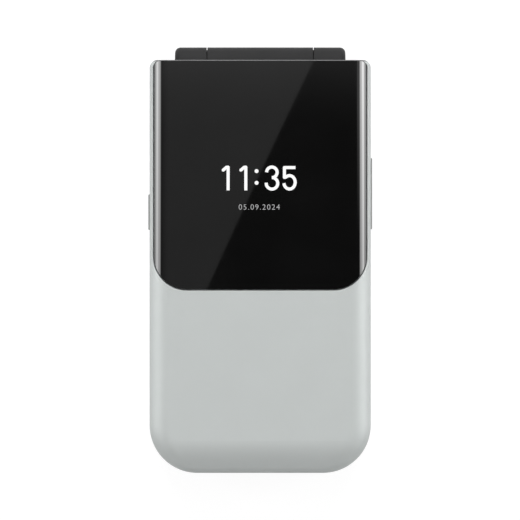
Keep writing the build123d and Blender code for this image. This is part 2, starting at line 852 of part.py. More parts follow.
def battery_cover():
    """The back cover that slides off towards the tip, wrapping both sides."""
    region = prism(2 * width, cover_end - tip + 1, -1, cover_height, 0, (cover_end + tip - 1) / 2)
    cover = (base_form() - base_form(cover_wall)) & region
    tab_low = base_wall + seam
    for x in cover_tab_places:
        root = prism(cover_tab_width, tab_root_length, cover_wall - overlap, tab_low + cover_tab_thickness, x,
                     cover_end - tab_root_length / 2)
        hook = prism(cover_tab_width, cover_tab_reach + 1, tab_low, tab_low + cover_tab_thickness, x,
                     cover_end + (cover_tab_reach - 1) / 2)
        cover = cover + root + hook
    for index in range(grip_grooves):
        y = tip + grip_from_tip + index * grip_pitch
        cover -= prism(grip_width, grip_groove, -1, grip_depth, 0, y, grip_groove / 2 - 0.01)
    return cover


def base_rear_housing():
    """The light lower casing: side walls, the fixed back at the hinge end and the battery bay's floor."""
    housing = base_form() - base_form(base_wall) - back_edge_rounding()
    housing -= prism(2 * width, 2 * length, base_height - band_height - seam, thickness)
    cover_space = prism(2 * width, cover_end - tip + 1 + seam, -1, cover_height + seam, 0,
                        (cover_end + seam + tip - 1) / 2)
    housing -= cover_space
    inside = base_form(base_wall)
    bulkhead_low = cover_end + cover_tab_reach + screw_tip_gap
    floor = prism(2 * width, bulkhead_low + bulkhead - tip, floor_z, floor_z + floor_thickness, 0,
                  (bulkhead_low + bulkhead + tip) / 2)
    wall = prism(2 * width, bulkhead, base_wall, floor_z + 0.1, 0, bulkhead_low + bulkhead / 2)
    housing += (floor + wall) & inside
    housing -= prism(2 * (block_side + seam), base_end, hinge_z - barrel_radius - seam, base_height, 0,
                     block_y - seam + base_end / 2)
    housing -= disc(camera_window_radius + seam, -1, glass_recess + camera_window_thickness + fit_gap, 0,
                    camera_y)
    housing -= disc(camera_view_radius, -1, base_wall, 0, camera_y)
    housing -= disc(flash_radius + fit_gap, -1, base_wall, flash_x, camera_y)
    for index in range(grille_slots):
        y = camera_y + (index - (grille_slots - 1) / 2) * grille_pitch
        housing -= prism(grille_slot_width, grille_slot_length, -1, base_wall, speaker_x, y, grille_corner)
    housing -= rod(jack_nose + seam, width / 2 - base_wall - 1, width / 2 + 1, jack_y, jack_z)
    shield_gap = 0.3
    housing -= prism(shield_width + 2 * shield_gap, shield_length + 2 * shield_gap, floor_z,
                     floor_z + floor_thickness, shield_x, bay_parts_y)
    usb_y = tip + usb_setback + usb_depth / 2
    housing -= prism(usb_width + 2 * usb_mouth_clearance, usb_depth + 2 * (usb_setback + overlap),
                     usb_low() - usb_mouth_clearance, usb_low() + usb_height + usb_mouth_clearance, 0, usb_y,
                     part_corner)
    housing -= prism(usb_width + 2 * usb_mouth_clearance, usb_depth, usb_low() - usb_mouth_clearance,
                     board_low, 0, usb_y + base_wall)
    housing -= side_opening(rocker_length, rocker_y, 1)
    housing -= side_opening(side_key_length, side_key_y, -1)
    for x, y in base_screw_places:
        housing -= disc(base_screw_radius + screw_clearance, floor_z, floor_z + floor_thickness, x, y)
    return housing


def back_edge_rounding():
    """What a rounded edge takes off the housing's back at the hinge end."""
    middle = base_end - base_end_round
    corner = Pos(0, base_end, 0) * Box(2 * width, 2 * base_end_round, 2 * base_end_round)
    return corner - rod(base_end_round, -width, width, middle, base_end_round)


def usb_low():
    """The underside of the charging socket, which hangs from the board."""
    return board_low - fit_gap - usb_height


def side_opening(size_y, y, side):
    """The slot in a side wall for a side key, with room behind it for the key's flange."""
    grow = 2 * side_key_clearance
    slot = Pos(side * width / 2, y, side_key_z) * Box(2 * base_wall + 1, size_y + grow, side_key_height + grow)
    room = side_flange_thickness + side_flange_setback + side_switch_gap + grow
    grow += 2 * side_key_flange
    behind = Pos(side * (width / 2 - base_wall - room / 2), y, side_key_z) * Box(
        room, size_y + grow, side_key_height + grow)
    return slot + behind


def volume_rocker():
    """The two-way side key, with the pivot nubs that it tilts on."""
    pivot_x = width / 2 - base_wall - side_flange_setback - side_flange_thickness / 2
    half_height = side_key_height / 2 + side_key_flange + side_key_clearance / 2
    pivot = disc(rocker_pivot_radius, side_key_z - half_height, side_key_z + half_height, pivot_x, rocker_y)
    return side_key(rocker_length, rocker_y, 1) + pivot


def side_key(size_y, y, side):
    """A side key: a long cap through the wall and a flange behind it."""
    flange_face = width / 2 - base_wall - side_flange_setback
    outer = width / 2 + side_key_proud
    cap_middle = (outer + flange_face) / 2
    cap = Pos(side * cap_middle, y, side_key_z) * Box(outer - flange_face, size_y, side_key_height)
    outer_edges = cap.faces().sort_by(Axis.X)[-1 if side > 0 else 0].edges()
    cap = fillet(outer_edges, key_edge)
    flange_middle = flange_face - side_flange_thickness / 2
    return cap + Pos(side * flange_middle, y, side_key_z) * Box(
        side_flange_thickness, size_y + 2 * side_key_flange, side_key_height + 2 * side_key_flange)


def main_board():
    """The base's circuit board, with a tab for the charging socket and a switch behind each side key."""
    size_y = board_high_y - board_low_y
    board = prism(electronics_width, size_y, board_low, board_top, 0, (board_high_y + board_low_y) / 2,
                  board_corner)
    board += prism(board_tab_width, board_low_y - board_tab_end + 1, board_low, board_top, 0,
                   (board_low_y + 1 + board_tab_end) / 2)
    ear = width / 2 - base_wall - side_flange_setback - side_flange_thickness - side_switch_gap
    for x, y in ((ear, rocker_y - rocker_switch_offset), (ear, rocker_y + rocker_switch_offset),
                 (-ear, side_key_y)):
        start = electronics_width / 2 - 1
        middle = (start + ear) / 2 * (1 if x > 0 else -1)
        board += prism(ear - start, side_switch_length, board_low, board_top, middle, y)
        switch_x = (ear - side_switch_width / 2) * (1 if x > 0 else -1)
        board += prism(side_switch_width, side_switch_length, board_low, board_top + side_switch_height,
                       switch_x, y)
    return board - post_space()


def battery():
    low = cover_wall + seam
    return prism(battery_width, battery_high_y - battery_low_y, low, floor_z - seam, 0,
                 (battery_high_y + battery_low_y) / 2, battery_corner)


def battery_contacts():
    """The contact block with three sprung blades that meet the battery's end."""
    top = floor_z - fit_gap
    blade_gap = 0.1
    block_low_y = battery_high_y + blade_gap + contact_blade_reach
    block = prism(contacts_width, contacts_length, top - contacts_height, top, 0,
                  block_low_y + contacts_length / 2)
    for index in (-1, 0, 1):
        block += prism(contact_blade_width, contact_blade_reach + blade_overlap,
                       top - contacts_height + blade_inset, top - blade_inset, index * contact_pitch,
                       block_low_y - (contact_blade_reach - blade_overlap) / 2)
    return block


def sim_socket():
    top = floor_z - fit_gap
    socket = prism(sim_width, sim_length, top - sim_height, top, sim_x, bay_parts_y, socket_corner)
    return socket - prism(sim_width - 2 * sim_slot_inset, sim_length, top - sim_height + sim_wall,
                          top - sim_wall, sim_x, bay_parts_y - 1)


def board_shield():
    top = board_low - fit_gap
    return prism(shield_width, shield_length, top - shield_height, top, shield_x, bay_parts_y, part_corner)


def microphone():
    low = board_top + fit_gap
    return disc(microphone_radius, low, low + microphone_height, 0, microphone_y)


def antenna():
    low = board_top + fit_gap
    return prism(antenna_width, antenna_depth, low, low + antenna_height, 0, antenna_y, antenna_corner)


def base_screws():
    screws = []
    for x, y in base_screw_places:
        head_top = floor_z - fit_gap
        screw = disc(screw_head_radius, head_top - screw_head_height, head_top, x, y)
        screw += disc(base_screw_radius, head_top - screw_head_height, frame_low - overlap, x, y)
        screw -= disc(drive_radius, head_top - screw_head_height, head_top - screw_head_height + drive_depth,
                      x, y)
        screws.append(screw)
    return group(screws)


def rear_camera():
    """The camera module, with its lens barrel behind the camera window."""
    low = glass_recess + camera_window_thickness + 2 * fit_gap
    housing_inside = base_wall + fit_gap
    module = prism(camera_width, camera_width, housing_inside, housing_inside + camera_height, 0, camera_y,
                   part_corner)
    module += disc(camera_view_radius - camera_barrel_gap, low, housing_inside + overlap, 0, camera_y)
    return module - disc(lens_recess_radius, low, low + lens_recess, 0, camera_y)


def camera_window():
    return disc(camera_window_radius, glass_recess, glass_recess + camera_window_thickness, 0, camera_y)


def flash_lens():
    return disc(flash_radius, glass_recess, base_wall - fit_gap, flash_x, camera_y)


def loudspeaker():
    low = base_wall + fit_gap
    return prism(speaker_width, speaker_length, low, low + speaker_height, speaker_x, camera_y, speaker_corner)


def headphone_socket():
    """The headphone socket: a blind bore in a moulded body, with a round nose in the side wall."""
    face = width / 2 - seam
    body_stop = width / 2 - base_wall - seam
    body_start = face - jack_depth - jack_back
    body = Pos((body_start + body_stop) / 2, jack_y, jack_z) * Box(body_stop - body_start, jack_body, jack_body)
    body = body & base_form(base_wall + seam)
    body += rod(jack_nose, body_stop - nose_overlap, face, jack_y, jack_z)
    return body - rod(jack_bore, face - jack_depth, face, jack_y, jack_z)


def usb_socket():
    """The charging socket: a thin steel mouth with a tongue inside it."""
    low_y = tip + usb_setback
    middle_z = usb_low() + usb_height / 2
    shell = Pos(0, low_y + usb_depth / 2, middle_z) * Box(usb_width, usb_depth, usb_height)
    hollow_depth = usb_depth - usb_back
    hollow = Pos(0, low_y + hollow_depth / 2, middle_z) * Box(usb_width - 2 * usb_shell, hollow_depth,
                                                              usb_height - 2 * usb_shell)
    tongue_depth = hollow_depth - usb_tongue_gap
    tongue = Box(usb_tongue_width, tongue_depth, usb_tongue_height)
    tongue = Pos(0, low_y + usb_tongue_gap + tongue_depth / 2, middle_z + usb_tongue_lift) * tongue
    return shell - hollow + tongue


def all_nodes():
    """Every sub-part by its node name."""
    nodes = {
        "lid_outer_shell": lid_outer_shell(), "outer_window": outer_window(), "outer_display": outer_display(),
        "lid_inner_frame": lid_inner_frame(), "main_window": main_window(), "main_display": main_display(),
        "lid_board": lid_board(), "earpiece": earpiece(), "earpiece_mesh": earpiece_mesh(),
        "vibration_motor": vibration_motor(), "lid_magnet": lid_magnet(), "lid_bumpers": lid_bumpers(),
        "lid_screws": lid_screws(), "lid_screw_plugs": lid_screw_plugs(),
        "hinge_cartridge": hinge_cartridge(), "hinge_springs": hinge_springs(), "hinge_flex": hinge_flex(),
        "hinge_cam_shaft": hinge_cam_shaft(), "hinge_bush": hinge_bush(), "hinge_caps": hinge_caps(),
        "keypad_frame": keypad_frame(), "keypad_mat": keypad_mat(), "dome_sheet": dome_sheet_film(),
        "base_rear_housing": base_rear_housing(), "battery_cover": battery_cover(), "battery": battery(),
        "battery_contacts": battery_contacts(), "sim_socket": sim_socket(), "board_shield": board_shield(),
        "main_board": main_board(), "microphone": microphone(), "antenna": antenna(),
        "base_screws": base_screws(),
        "rear_camera": rear_camera(), "camera_window": camera_window(), "flash_lens": flash_lens(),
        "loudspeaker": loudspeaker(), "headphone_socket": headphone_socket(), "usb_socket": usb_socket(),
        "scroll_ring": scroll_ring(), "ring_gimbal": ring_gimbal(), "select_key": select_key(),
        "volume_rocker": volume_rocker(),
        "side_key": side_key(side_key_length, side_key_y, -1),
    }
    for name in list(menu_key_places()) + list(digit_key_places()):
        nodes[name] = key(name)
    return nodes


os.makedirs("parts", exist_ok=True)
for node, shape in all_nodes().items():
    export_step(shape, "parts/" + node + ".step")
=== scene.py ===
import math

import bmesh
import bpy
from mathutils import Matrix, Vector


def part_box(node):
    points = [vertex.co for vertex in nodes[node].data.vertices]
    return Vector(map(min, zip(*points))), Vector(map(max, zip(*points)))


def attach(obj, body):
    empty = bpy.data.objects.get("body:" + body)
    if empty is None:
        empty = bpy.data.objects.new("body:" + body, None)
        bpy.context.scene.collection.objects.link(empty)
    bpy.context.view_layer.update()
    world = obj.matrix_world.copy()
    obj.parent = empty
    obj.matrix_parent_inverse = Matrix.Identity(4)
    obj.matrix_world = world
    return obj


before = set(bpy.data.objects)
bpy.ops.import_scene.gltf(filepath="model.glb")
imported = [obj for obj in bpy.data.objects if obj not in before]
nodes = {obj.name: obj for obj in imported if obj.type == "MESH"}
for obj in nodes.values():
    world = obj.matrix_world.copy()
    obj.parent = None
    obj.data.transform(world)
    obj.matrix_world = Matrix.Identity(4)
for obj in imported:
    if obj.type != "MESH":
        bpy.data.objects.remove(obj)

for name in ("Cube", "Light", "Camera"):
    if name in bpy.data.objects:
        bpy.data.objects.remove(bpy.data.objects[name])
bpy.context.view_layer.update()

# A flip phone, folded and lying on its back. Metres; most sizes are written in millimetres times mm.
mm = 0.001

# The hinge: its axis, the barrel round it, and the gaps that part the barrel's three segments, where shade
# is painted near-black.
hinge_y, hinge_z = 47.4 * mm, 10.0 * mm
barrel_reach = 4.5 * mm
segment_gap_x = 13.1 * mm
segment_gap_half = 0.12 * mm
washer_x = 13.0 * mm

# The lid: where the darker lip at its hinge end starts, partly painted shade, and the screen behind its
# inner window.
lip_start_y = 48.7 * mm
screen_middle, screen_half = (0.0, -2 * mm), (21.6 * mm, 29 * mm)

# The clock: the figures' baseline and weight, the two dots, and the date line under them.
clock_baseline = 16.86 * mm
clock_weight = 0.75 * mm
dot_x, dot_top, dot_bottom = -0.89 * mm, 21.81 * mm, 18.93 * mm
dot_radius, dot_bevel = 0.48 * mm, 0.02 * mm
date_x, date_y, date_height = -0.24 * mm, 12.92 * mm, 1.34 * mm

# Print: how thick it is, how high it sits, and how much each part of a stroke is lifted over the last.
ink_height = 0.008 * mm
print_height = 0.006 * mm
stroke_lift = 0.0003 * mm

# Key legends: the numbers' height, how far the menu keys' marks sit towards the phone's sides, and, in
# millimetres, the star's reach, the ring arrows' place and the weight of each stroked mark.
digit_height = 3.4 * mm
menu_mark_out = 2.2 * mm
star_reach, arrow_out = 1.2, 7.4
star_weight, handset_weight, dash_weight, arrow_weight = 0.42, 0.95, 0.55, 0.32

# Finishes: the size of the cloudiness, uneven polish and patterns in them.
cloud_size, polish_size = 9 * mm, 2.5 * mm
smear_size, haze_size, fibre_size = 14 * mm, 6 * mm, 1.2 * mm
track_size, wire_pitch = 2.2 * mm, 1.1 * mm
screen_pixel, screen_smear, display_row = 0.9 * mm, 12 * mm, 0.7 * mm

# Side lights: their card, the phone's edge beside them, and how far behind that edge a mirror is dimmed.
side_card_long, side_card_tall = 0.26, 0.4
side_card_x, side_card_z = 0.4235, 0.195
near_edge_x, near_edge_z = 25.4 * mm, 17.6 * mm
dim_start, dim_end = 4 * mm, 6 * mm
abreast_start, abreast_end = 70 * mm, 80 * mm
glossy_share = 0.15
brightest_y = 62.5 * mm
aim_z = 18 * mm
ramp_span = math.radians(100)

# The card overhead: its mirrored edge slants as edge_rate * y + edge_bend * y * y, less edge_offset.
edge_rate, edge_bend, edge_offset, edge_blur = 0.455, 0.193, 15 * mm, 0.6 * mm
headward_gain, darkest_level = 0.0914, 0.002

# Floor and room: how bright each is as light, and as the camera and mirrors see it.
floor_tone, floor_seen = 0.16, 0.9
room_light, room_seen = 0.42, 1.0
floor_drop, underside_gap = 0.05 * mm, 0.6 * mm

# Camera: its lens in millimetres, and where it stands.
lens, film_width = 500, 36
camera_x, camera_height = -0.05 * mm, 1.7905


# ---------------------------------------------------------------- shader helpers

def start_material(name):
    """A new material with its Principled shader and the object's own coordinates."""
    material = bpy.data.materials.new(name)
    material.use_nodes = True
    tree = material.node_tree
    shader = tree.nodes["Principled BSDF"]
    coordinates = tree.nodes.new("ShaderNodeTexCoord").outputs["Object"]
    return material, tree, shader, coordinates


def noise(tree, coordinates, size, detail=2.0, roughness=0.5):
    """Cloudy noise with features of about the given size."""
    node = tree.nodes.new("ShaderNodeTexNoise")
    node.inputs["Scale"].default_value = 1.0 / size
    node.inputs["Detail"].default_value = detail
    node.inputs["Roughness"].default_value = roughness
    tree.links.new(coordinates, node.inputs["Vector"])
    return node.outputs["Fac"]


def spread(tree, value, low, high, start=0.3, stop=0.7):
    """Turns values from start to stop into values from low to high, held at both ends."""
    node = tree.nodes.new("ShaderNodeMapRange")
    node.inputs["From Min"].default_value = start
    node.inputs["From Max"].default_value = stop
    node.inputs["To Min"].default_value = low
    node.inputs["To Max"].default_value = high
    tree.links.new(value, node.inputs["Value"])
    return node.outputs["Result"]


def maths(tree, kind, first, second=0.0):
    """One sum on two values, each a number or a node's output."""
    node = tree.nodes.new("ShaderNodeMath")
    node.operation = kind
    for socket, value in zip(node.inputs, (first, second)):
        if isinstance(value, (int, float)):
            socket.default_value = value
        else:
            tree.links.new(value, socket)
    return node.outputs["Value"]


def mix_colour(tree, factor, first, second):
    """Blends two colours, each a triple or a node's output, by a factor."""
    node = tree.nodes.new("ShaderNodeMix")
    node.data_type = "RGBA"
    tree.links.new(factor, node.inputs["Factor"])
    for socket, value in ((node.inputs[6], first), (node.inputs[7], second)):
        if isinstance(value, tuple):
            socket.default_value = (*value, 1.0)
        else:
            tree.links.new(value, socket)
    return node.outputs[2]


def axes_of(tree, coordinates):
    """The separate X, Y and Z of some coordinates."""
    split = tree.nodes.new("ShaderNodeSeparateXYZ")
    tree.links.new(coordinates, split.inputs["Vector"])
    return split.outputs


def ramp(tree, value, stops):
    """A grey level along straight runs between (place, level) stops, with places from 0 to 1."""
    node = tree.nodes.new("ShaderNodeValToRGB")
    while len(node.color_ramp.elements) < len(stops):
        node.color_ramp.elements.new(1.0)
    for element, (place, level) in zip(node.color_ramp.elements, stops):
        element.position = place
        element.color = (level, level, level, 1.0)
    tree.links.new(value, node.inputs["Fac"])
    return node.outputs["Color"]


def shade(colour, amount):
    """A lighter or darker colour."""
    return tuple(channel * amount for channel in colour)


def relief(tree, shader, height, depth):
    """Turns a height into bumps of the given depth."""
    bump = tree.nodes.new("ShaderNodeBump")
    bump.inputs["Distance"].default_value = depth
    tree.links.new(height, bump.inputs["Height"])
    tree.links.new(bump.outputs["Normal"], shader.inputs["Normal"])


def moulded(name, colour, roughness, grain=0.12 * mm, depth=0.002 * mm, mottle=0.04, ior=1.5,
            metallic=0.0, marks=None):
    """A moulded or painted finish: fine grain, faint cloudiness in its colour, uneven polish.

    marks may paint part of it another colour, such as painted shade.
    """
    material, tree, shader, coordinates = start_material(name)
    cloud = spread(tree, noise(tree, coordinates, cloud_size), 0.0, 1.0)
    tint = mix_colour(tree, cloud, shade(colour, 1 - mottle), shade(colour, 1 + mottle))
    if marks:
        tint = marks(tree, coordinates, tint)
    tree.links.new(tint, shader.inputs["Base Color"])
    polish = noise(tree, coordinates, polish_size, detail=4.0)
    tree.links.new(spread(tree, polish, roughness * 0.92, roughness * 1.08), shader.inputs["Roughness"])
    relief(tree, shader, noise(tree, coordinates, grain, detail=1.0), depth)
    shader.inputs["IOR"].default_value = ior
    shader.inputs["Metallic"].default_value = metallic
    return material


def polished_black(name, colour, ior, smudge=0.03):
    """Clear-topped black: smooth, with the faintest haze where it has been wiped."""
    material, tree, shader, coordinates = start_material(name)
    cloud = noise(tree, coordinates, smear_size, detail=3.0)
    tint = mix_colour(tree, spread(tree, cloud, 0.0, 1.0), shade(colour, 0.85), shade(colour, 1.15))
    tree.links.new(tint, shader.inputs["Base Color"])
    stretched = tree.nodes.new("ShaderNodeMapping")
    stretched.inputs["Scale"].default_value = (1.0, 3.0, 1.0)
    stretched.inputs["Rotation"].default_value = (0.0, 0.0, 0.6)
    tree.links.new(coordinates, stretched.inputs["Vector"])
    haze = noise(tree, stretched.outputs["Vector"], haze_size, detail=5.0)
    tree.links.new(spread(tree, haze, 0.012, 0.012 + smudge, 0.45, 0.8), shader.inputs["Roughness"])
    shader.inputs["IOR"].default_value = ior
    return material


def brushed(name, colour, roughness, stretch=(1.0, 14.0, 14.0)):
    """Rolled or drawn metal: fine parallel lines in its gloss and surface."""
    material, tree, shader, coordinates = start_material(name)
    lines = tree.nodes.new("ShaderNodeMapping")
    lines.inputs["Scale"].default_value = stretch
    tree.links.new(coordinates, lines.inputs["Vector"])
    fibre = noise(tree, lines.outputs["Vector"], fibre_size, detail=6.0, roughness=0.7)
    tint = mix_colour(tree, spread(tree, fibre, 0.0, 1.0), shade(colour, 0.82), shade(colour, 1.08))
    tree.links.new(tint, shader.inputs["Base Color"])
    tree.links.new(spread(tree, fibre, roughness * 0.75, roughness * 1.3), shader.inputs["Roughness"])
    relief(tree, shader, fibre, 0.004 * mm)
    shader.inputs["Metallic"].default_value = 1.0
    return material


# ---------------------------------------------------------------- finishes

paint = {"colour": (0.50, 0.524, 0.517), "roughness": 0.56, "grain": 0.16 * mm, "depth": 0.0012 * mm,
         "mottle": 0.008, "ior": 1.25, "metallic": 0.26}


def dark_lip_and_painted_shade(tree, coordinates, tint):
    """Painted shade: the lid's paint turns a darker grey on the lip over the hinge, standing in for that
    end's darker cover and for the shade on its rim.
    """
    lip = spread(tree, axes_of(tree, coordinates)["Y"], 0.0, 1.0, lip_start_y, lip_start_y + 0.05 * mm)
    # Painted shade: the darker grey on the hinge-end lip, partly the cover's own tone.
    return mix_colour(tree, lip, tint, (0.21, 0.21, 0.212))


def painted_gap_shade(tree, coordinates, tint):
    """Painted shade: the charcoal turns near-black in the deep gaps between the barrel's segments, where
    shade falls.
    """
    split = axes_of(tree, coordinates)
    away = maths(tree, "ABSOLUTE", split["X"])
    beside = maths(tree, "ABSOLUTE", maths(tree, "SUBTRACT", away, segment_gap_x))
    across = maths(tree, "POWER", maths(tree, "SUBTRACT", split["Y"], hinge_y), 2.0)
    up = maths(tree, "POWER", maths(tree, "SUBTRACT", split["Z"], hinge_z), 2.0)
    from_axis = maths(tree, "SQRT", maths(tree, "ADD", across, up))
    on_barrel = spread(tree, from_axis, 1.0, 0.0, barrel_reach, barrel_reach + 0.1 * mm)
    in_gap = spread(tree, beside, 1.0, 0.0, segment_gap_half, segment_gap_half + 0.04 * mm)
    # Painted shade: near-black in the barrel's gaps.
    return mix_colour(tree, maths(tree, "MULTIPLY", on_barrel, in_gap), tint, (0.001, 0.001, 0.001))


light_shell = moulded("light_shell", **paint)
# The lid's paint carries painted shade on the lip over its hinge end.
lid_paint = moulded("lid_paint", **paint, marks=dark_lip_and_painted_shade)
# The charcoal carries painted shade in the barrel's gaps.
charcoal = moulded("charcoal_frame", (0.021, 0.021, 0.0214), 0.45, mottle=0.06, ior=1.12, marks=painted_gap_shade)
window_black = polished_black("window_black", (0.0042, 0.0042, 0.0042), 1.9, smudge=0.01)
camera_black = polished_black("camera_black", (0.006, 0.006, 0.008), 1.6)
key_black = moulded("key_black", (0.020, 0.020, 0.022), 0.36, mottle=0.05, ior=1.25)
side_grey = moulded("side_grey", (0.21, 0.218, 0.214), 0.4, mottle=0.02)
rubber_black = moulded("rubber_black", (0.02, 0.02, 0.02), 0.7, depth=0.004 * mm)
silicone_grey = moulded("silicone_grey", (0.32, 0.32, 0.33), 0.55)
plastic_black = moulded("plastic_black", (0.016, 0.016, 0.017), 0.5)
magnet_plate = brushed("magnet_plate", (0.62, 0.62, 0.64), 0.22)
bright_steel = brushed("bright_steel", (0.56, 0.56, 0.58), 0.3)
dark_screw = brushed("dark_screw", (0.16, 0.16, 0.165), 0.34)
tin_plate = brushed("tin_plate", (0.6, 0.6, 0.62), 0.35, stretch=(14.0, 1.0, 14.0))
amber_film = moulded("amber_film", (0.5, 0.25, 0.06), 0.3, mottle=0.1)
dome_film = moulded("dome_film", (0.72, 0.72, 0.68), 0.45)
battery_wrap = moulded("battery_wrap", (0.06, 0.06, 0.064), 0.45, mottle=0.1)
flash_lens = moulded("flash_lens", (0.78, 0.76, 0.62), 0.2, grain=0.3 * mm, depth=0.01 * mm)


def lacquered_board():
    """Green solder mask with copper tracks showing through it."""
    material, tree, shader, coordinates = start_material("lacquered_board")
    cells = tree.nodes.new("ShaderNodeTexVoronoi")
    cells.distance = "CHEBYCHEV"
    cells.inputs["Scale"].default_value = 1 / track_size
    tree.links.new(coordinates, cells.inputs["Vector"])
    tracks = spread(tree, cells.outputs["Distance"], 0.0, 1.0, 0.42, 0.5)
    tint = mix_colour(tree, tracks, (0.012, 0.075, 0.035), (0.03, 0.14, 0.05))
    tree.links.new(tint, shader.inputs["Base Color"])
    shader.inputs["Roughness"].default_value = 0.32
    relief(tree, shader, tracks, 0.01 * mm)
    return material


def woven_mesh():
    """Blackened woven wire: two crossed sets of ribs."""
    material, tree, shader, coordinates = start_material("woven_mesh")
    heights = []
    for direction in ("X", "Y"):
        wave = tree.nodes.new("ShaderNodeTexWave")
        wave.bands_direction = direction
        wave.inputs["Scale"].default_value = 1 / wire_pitch
        tree.links.new(coordinates, wave.inputs["Vector"])
        heights.append(wave.outputs["Fac"])
    weave = maths(tree, "MAXIMUM", *heights)
    tint = mix_colour(tree, weave, (0.004, 0.004, 0.004), (0.11, 0.11, 0.11))
    tree.links.new(tint, shader.inputs["Base Color"])
    shader.inputs["Roughness"].default_value = 0.4
    shader.inputs["Metallic"].default_value = 0.6
    relief(tree, shader, weave, 0.05 * mm)
    return material


def box_mask(tree, coordinates, middle, half, soft):
    """1 inside a rectangle seen from above, 0 outside it."""
    split = axes_of(tree, coordinates)
    sides = []
    for axis, centre, reach in zip("XY", middle, half):
        offset = maths(tree, "ABSOLUTE", maths(tree, "SUBTRACT", split[axis], centre))
        sides.append(spread(tree, offset, 1.0, 0.0, reach - soft, reach + soft))
    return maths(tree, "MULTIPLY", *sides)


def inner_screen():
    """The inner window: a black border round the slightly bluer, pixelled screen."""
    material, tree, shader, coordinates = start_material("inner_screen")
    lit = box_mask(tree, coordinates, screen_middle, screen_half, 0.05 * mm)
    cells = tree.nodes.new("ShaderNodeTexWave")
    cells.inputs["Scale"].default_value = 1 / screen_pixel
    tree.links.new(coordinates, cells.inputs["Vector"])
    screen = mix_colour(tree, cells.outputs["Fac"], (0.012, 0.0135, 0.017), (0.016, 0.018, 0.022))
    tree.links.new(mix_colour(tree, lit, (0.004, 0.004, 0.0045), screen), shader.inputs["Base Color"])
    smear = noise(tree, coordinates, screen_smear, detail=4.0)
    tree.links.new(spread(tree, smear, 0.04, 0.09), shader.inputs["Roughness"])
    shader.inputs["IOR"].default_value = 1.5
    return material


lacquer = lacquered_board()
mesh_black = woven_mesh()
screen_glass = inner_screen()

digit_keys = ["key_" + mark for mark in ("1", "2", "3", "4", "5", "6", "7", "8", "9", "star", "0", "hash")]
menu_keys = ["soft_key_left", "soft_key_right", "call_key", "end_key"]
worn_by = [
    (light_shell, ["battery_cover", "base_rear_housing"]),
    (lid_paint, ["lid_outer_shell"]),
    (charcoal, ["lid_inner_frame", "keypad_frame", "hinge_caps", "lid_screw_plugs"]),
    (window_black, ["outer_window"]),
    (screen_glass, ["main_window", "main_display", "outer_display"]),
    (camera_black, ["camera_window"]),
    (flash_lens, ["flash_lens"]),
    (key_black, digit_keys + menu_keys + ["scroll_ring", "select_key"]),
    (side_grey, ["volume_rocker", "side_key"]),
    (rubber_black, ["lid_bumpers"]),
    (silicone_grey, ["keypad_mat"]),
    (plastic_black, ["earpiece", "battery_contacts", "microphone", "antenna", "rear_camera", "loudspeaker",
                     "headphone_socket"]),
    (mesh_black, ["earpiece_mesh"]),
    (magnet_plate, ["lid_magnet"]),
    (bright_steel, ["vibration_motor", "hinge_cartridge", "hinge_springs", "hinge_cam_shaft", "hinge_bush",
                    "sim_socket", "usb_socket", "ring_gimbal"]),
    (dark_screw, ["lid_screws", "base_screws"]),
    (tin_plate, ["board_shield"]),
    (amber_film, ["hinge_flex"]),
    (dome_film, ["dome_sheet"]),
    (battery_wrap, ["battery"]),
    (lacquer, ["main_board", "lid_board"]),
]
for finish, wearers in worn_by:
    for wearer in wearers:
        for slot in nodes[wearer].material_slots:
            slot.material = finish


# ---------------------------------------------------------------- making pieces

def add_piece(name, form, finish, body):
    """Turns a bmesh or a mesh into a piece that rides on a body, if one is named."""
    if isinstance(form, bmesh.types.BMesh):
        mesh = bpy.data.meshes.new(name)
        form.to_mesh(mesh)
        form.free()
    else:
        mesh = form
        mesh.name = name
    piece = bpy.data.objects.new(name, mesh)
    bpy.context.scene.collection.objects.link(piece)
    mesh.materials.clear()
    mesh.materials.append(finish)
    mesh.polygons.foreach_set("use_smooth", [False] * len(mesh.polygons))
    if body:
        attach(piece, body)
    return piece


def glow(name, colour, strength):
    """The light of a display's own pixels, with the pixel rows just showing."""
    material, tree, shader, coordinates = start_material(name)
    rows = tree.nodes.new("ShaderNodeTexWave")
    rows.bands_direction = "Y"
    rows.inputs["Scale"].default_value = 1 / display_row
    tree.links.new(coordinates, rows.inputs["Vector"])
    tint = mix_colour(tree, rows.outputs["Fac"], shade(colour, 0.97), colour)
    tree.links.new(tint, shader.inputs["Emission Color"])
    shader.inputs["Base Color"].default_value = (0.004, 0.004, 0.004, 1.0)
    shader.inputs["Emission Strength"].default_value = strength
    shader.inputs["Roughness"].default_value = 0.4
    return material


def ink(name, colour):
    """Printed legend ink, slightly uneven."""
    return moulded(name, colour, 0.45, grain=0.08 * mm, depth=0.001 * mm, mottle=0.03)


def curve_to_mesh(curve):
    """A curve's finished surface as a mesh."""
    holder = bpy.data.objects.new("holder", curve)
    bpy.context.scene.collection.objects.link(holder)
    bpy.context.view_layer.update()
    mesh = bpy.data.meshes.new_from_object(holder.evaluated_get(bpy.context.evaluated_depsgraph_get()))
    bpy.data.objects.remove(holder)
    return mesh


def arc(centre, reach_x, reach_y, start, stop, steps=16):
    """Points along part of an ellipse, in degrees from +X."""
    turns = [math.radians(start + (stop - start) * step / steps) for step in range(steps + 1)]
    return [(centre[0] + reach_x * math.cos(turn), centre[1] + reach_y * math.sin(turn)) for turn in turns]


